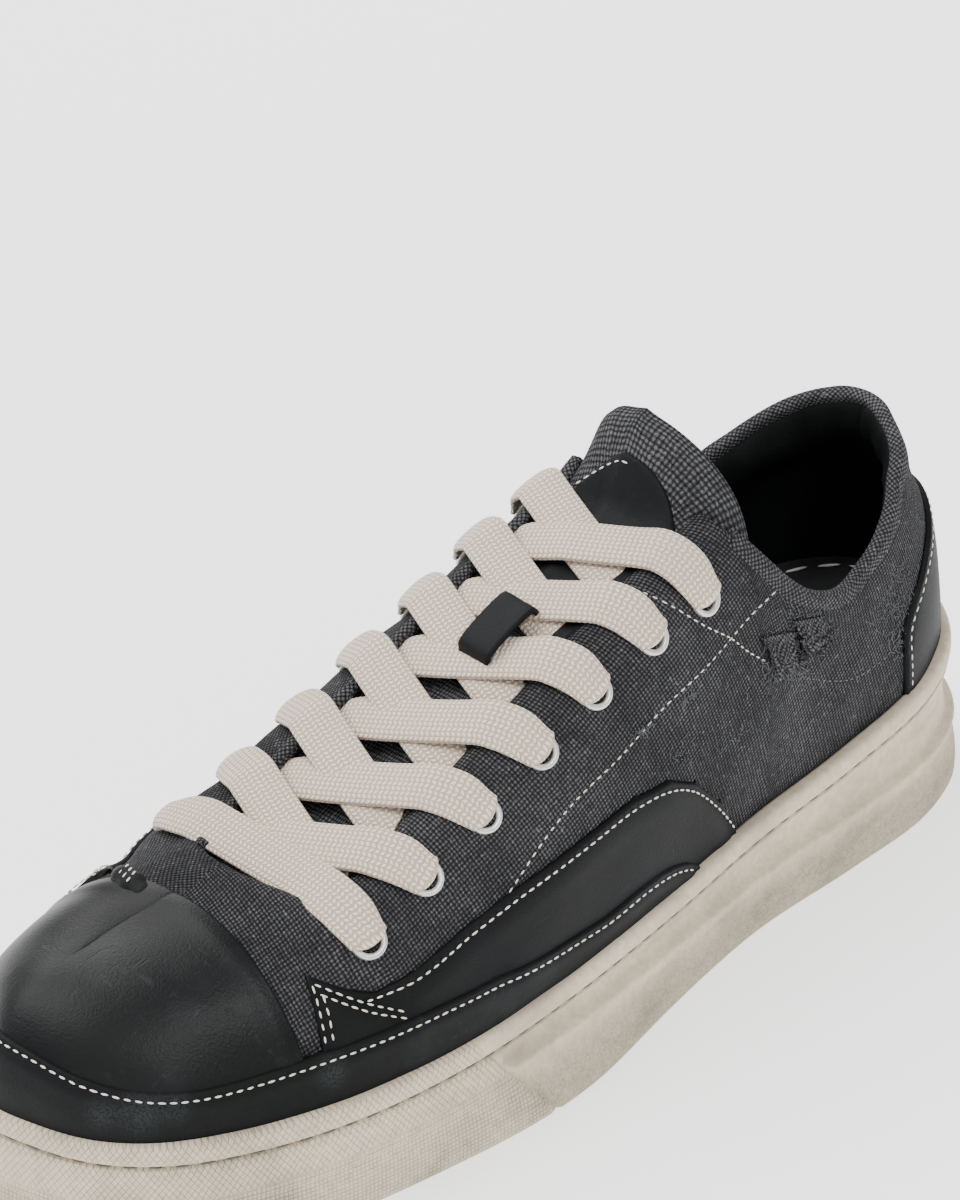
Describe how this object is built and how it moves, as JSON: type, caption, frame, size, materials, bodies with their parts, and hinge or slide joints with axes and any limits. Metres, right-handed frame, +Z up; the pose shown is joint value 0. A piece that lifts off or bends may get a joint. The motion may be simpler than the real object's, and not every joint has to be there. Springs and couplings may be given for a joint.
{
  "type": "worn out sneaker",
  "caption": "Worn low canvas sneaker for the left foot, with black leather toe cap, mudguard, side overlays and heel, flat cotton lace and a dirty rubber cup sole.",
  "frame": {"origin": "on the floor, under the middle of the sole's box", "axes": "+X towards the heel, -X towards the toe, -Y the lateral (outer) side, +Z up"},
  "size_m": [0.3036, 0.1076, 0.1271],
  "materials": {
    "canvas": "washed black cotton canvas, faded and frayed",
    "leather": "smooth black leather, scuffed",
    "rubber": "cream rubber, soiled",
    "lining": "black textile and leather lining",
    "lace": "flat woven cotton",
    "eyelet_metal": "white painted metal, slightly glossy",
    "thread": "waxed off-white stitching thread"
  },
  "bodies": {
    "root": {"sole": "rubber", "insole": "lining", "upper": "canvas", "tongue": "canvas", "toe_cap": "leather", "mudguard": "leather", "side_overlay_lateral": "leather", "side_overlay_medial": "leather", "heel_counter": "leather", "lace_crossing_1": "lace", "lace_crossing_2": "lace", "lace_crossing_3": "lace", "lace_crossing_4": "lace", "lace_crossing_5": "lace", "lace_crossing_6": "lace", "lace_keeper": "leather", "eyelet_lateral_1": "eyelet_metal", "eyelet_lateral_2": "eyelet_metal", "eyelet_lateral_3": "eyelet_metal", "eyelet_lateral_4": "eyelet_metal", "eyelet_lateral_5": "eyelet_metal", "eyelet_lateral_6": "eyelet_metal", "eyelet_lateral_7": "eyelet_metal", "eyelet_medial_1": "eyelet_metal", "eyelet_medial_2": "eyelet_metal", "eyelet_medial_3": "eyelet_metal", "eyelet_medial_4": "eyelet_metal", "eyelet_medial_5": "eyelet_metal", "eyelet_medial_6": "eyelet_metal", "eyelet_medial_7": "eyelet_metal"}
  },
  "joints": []
}
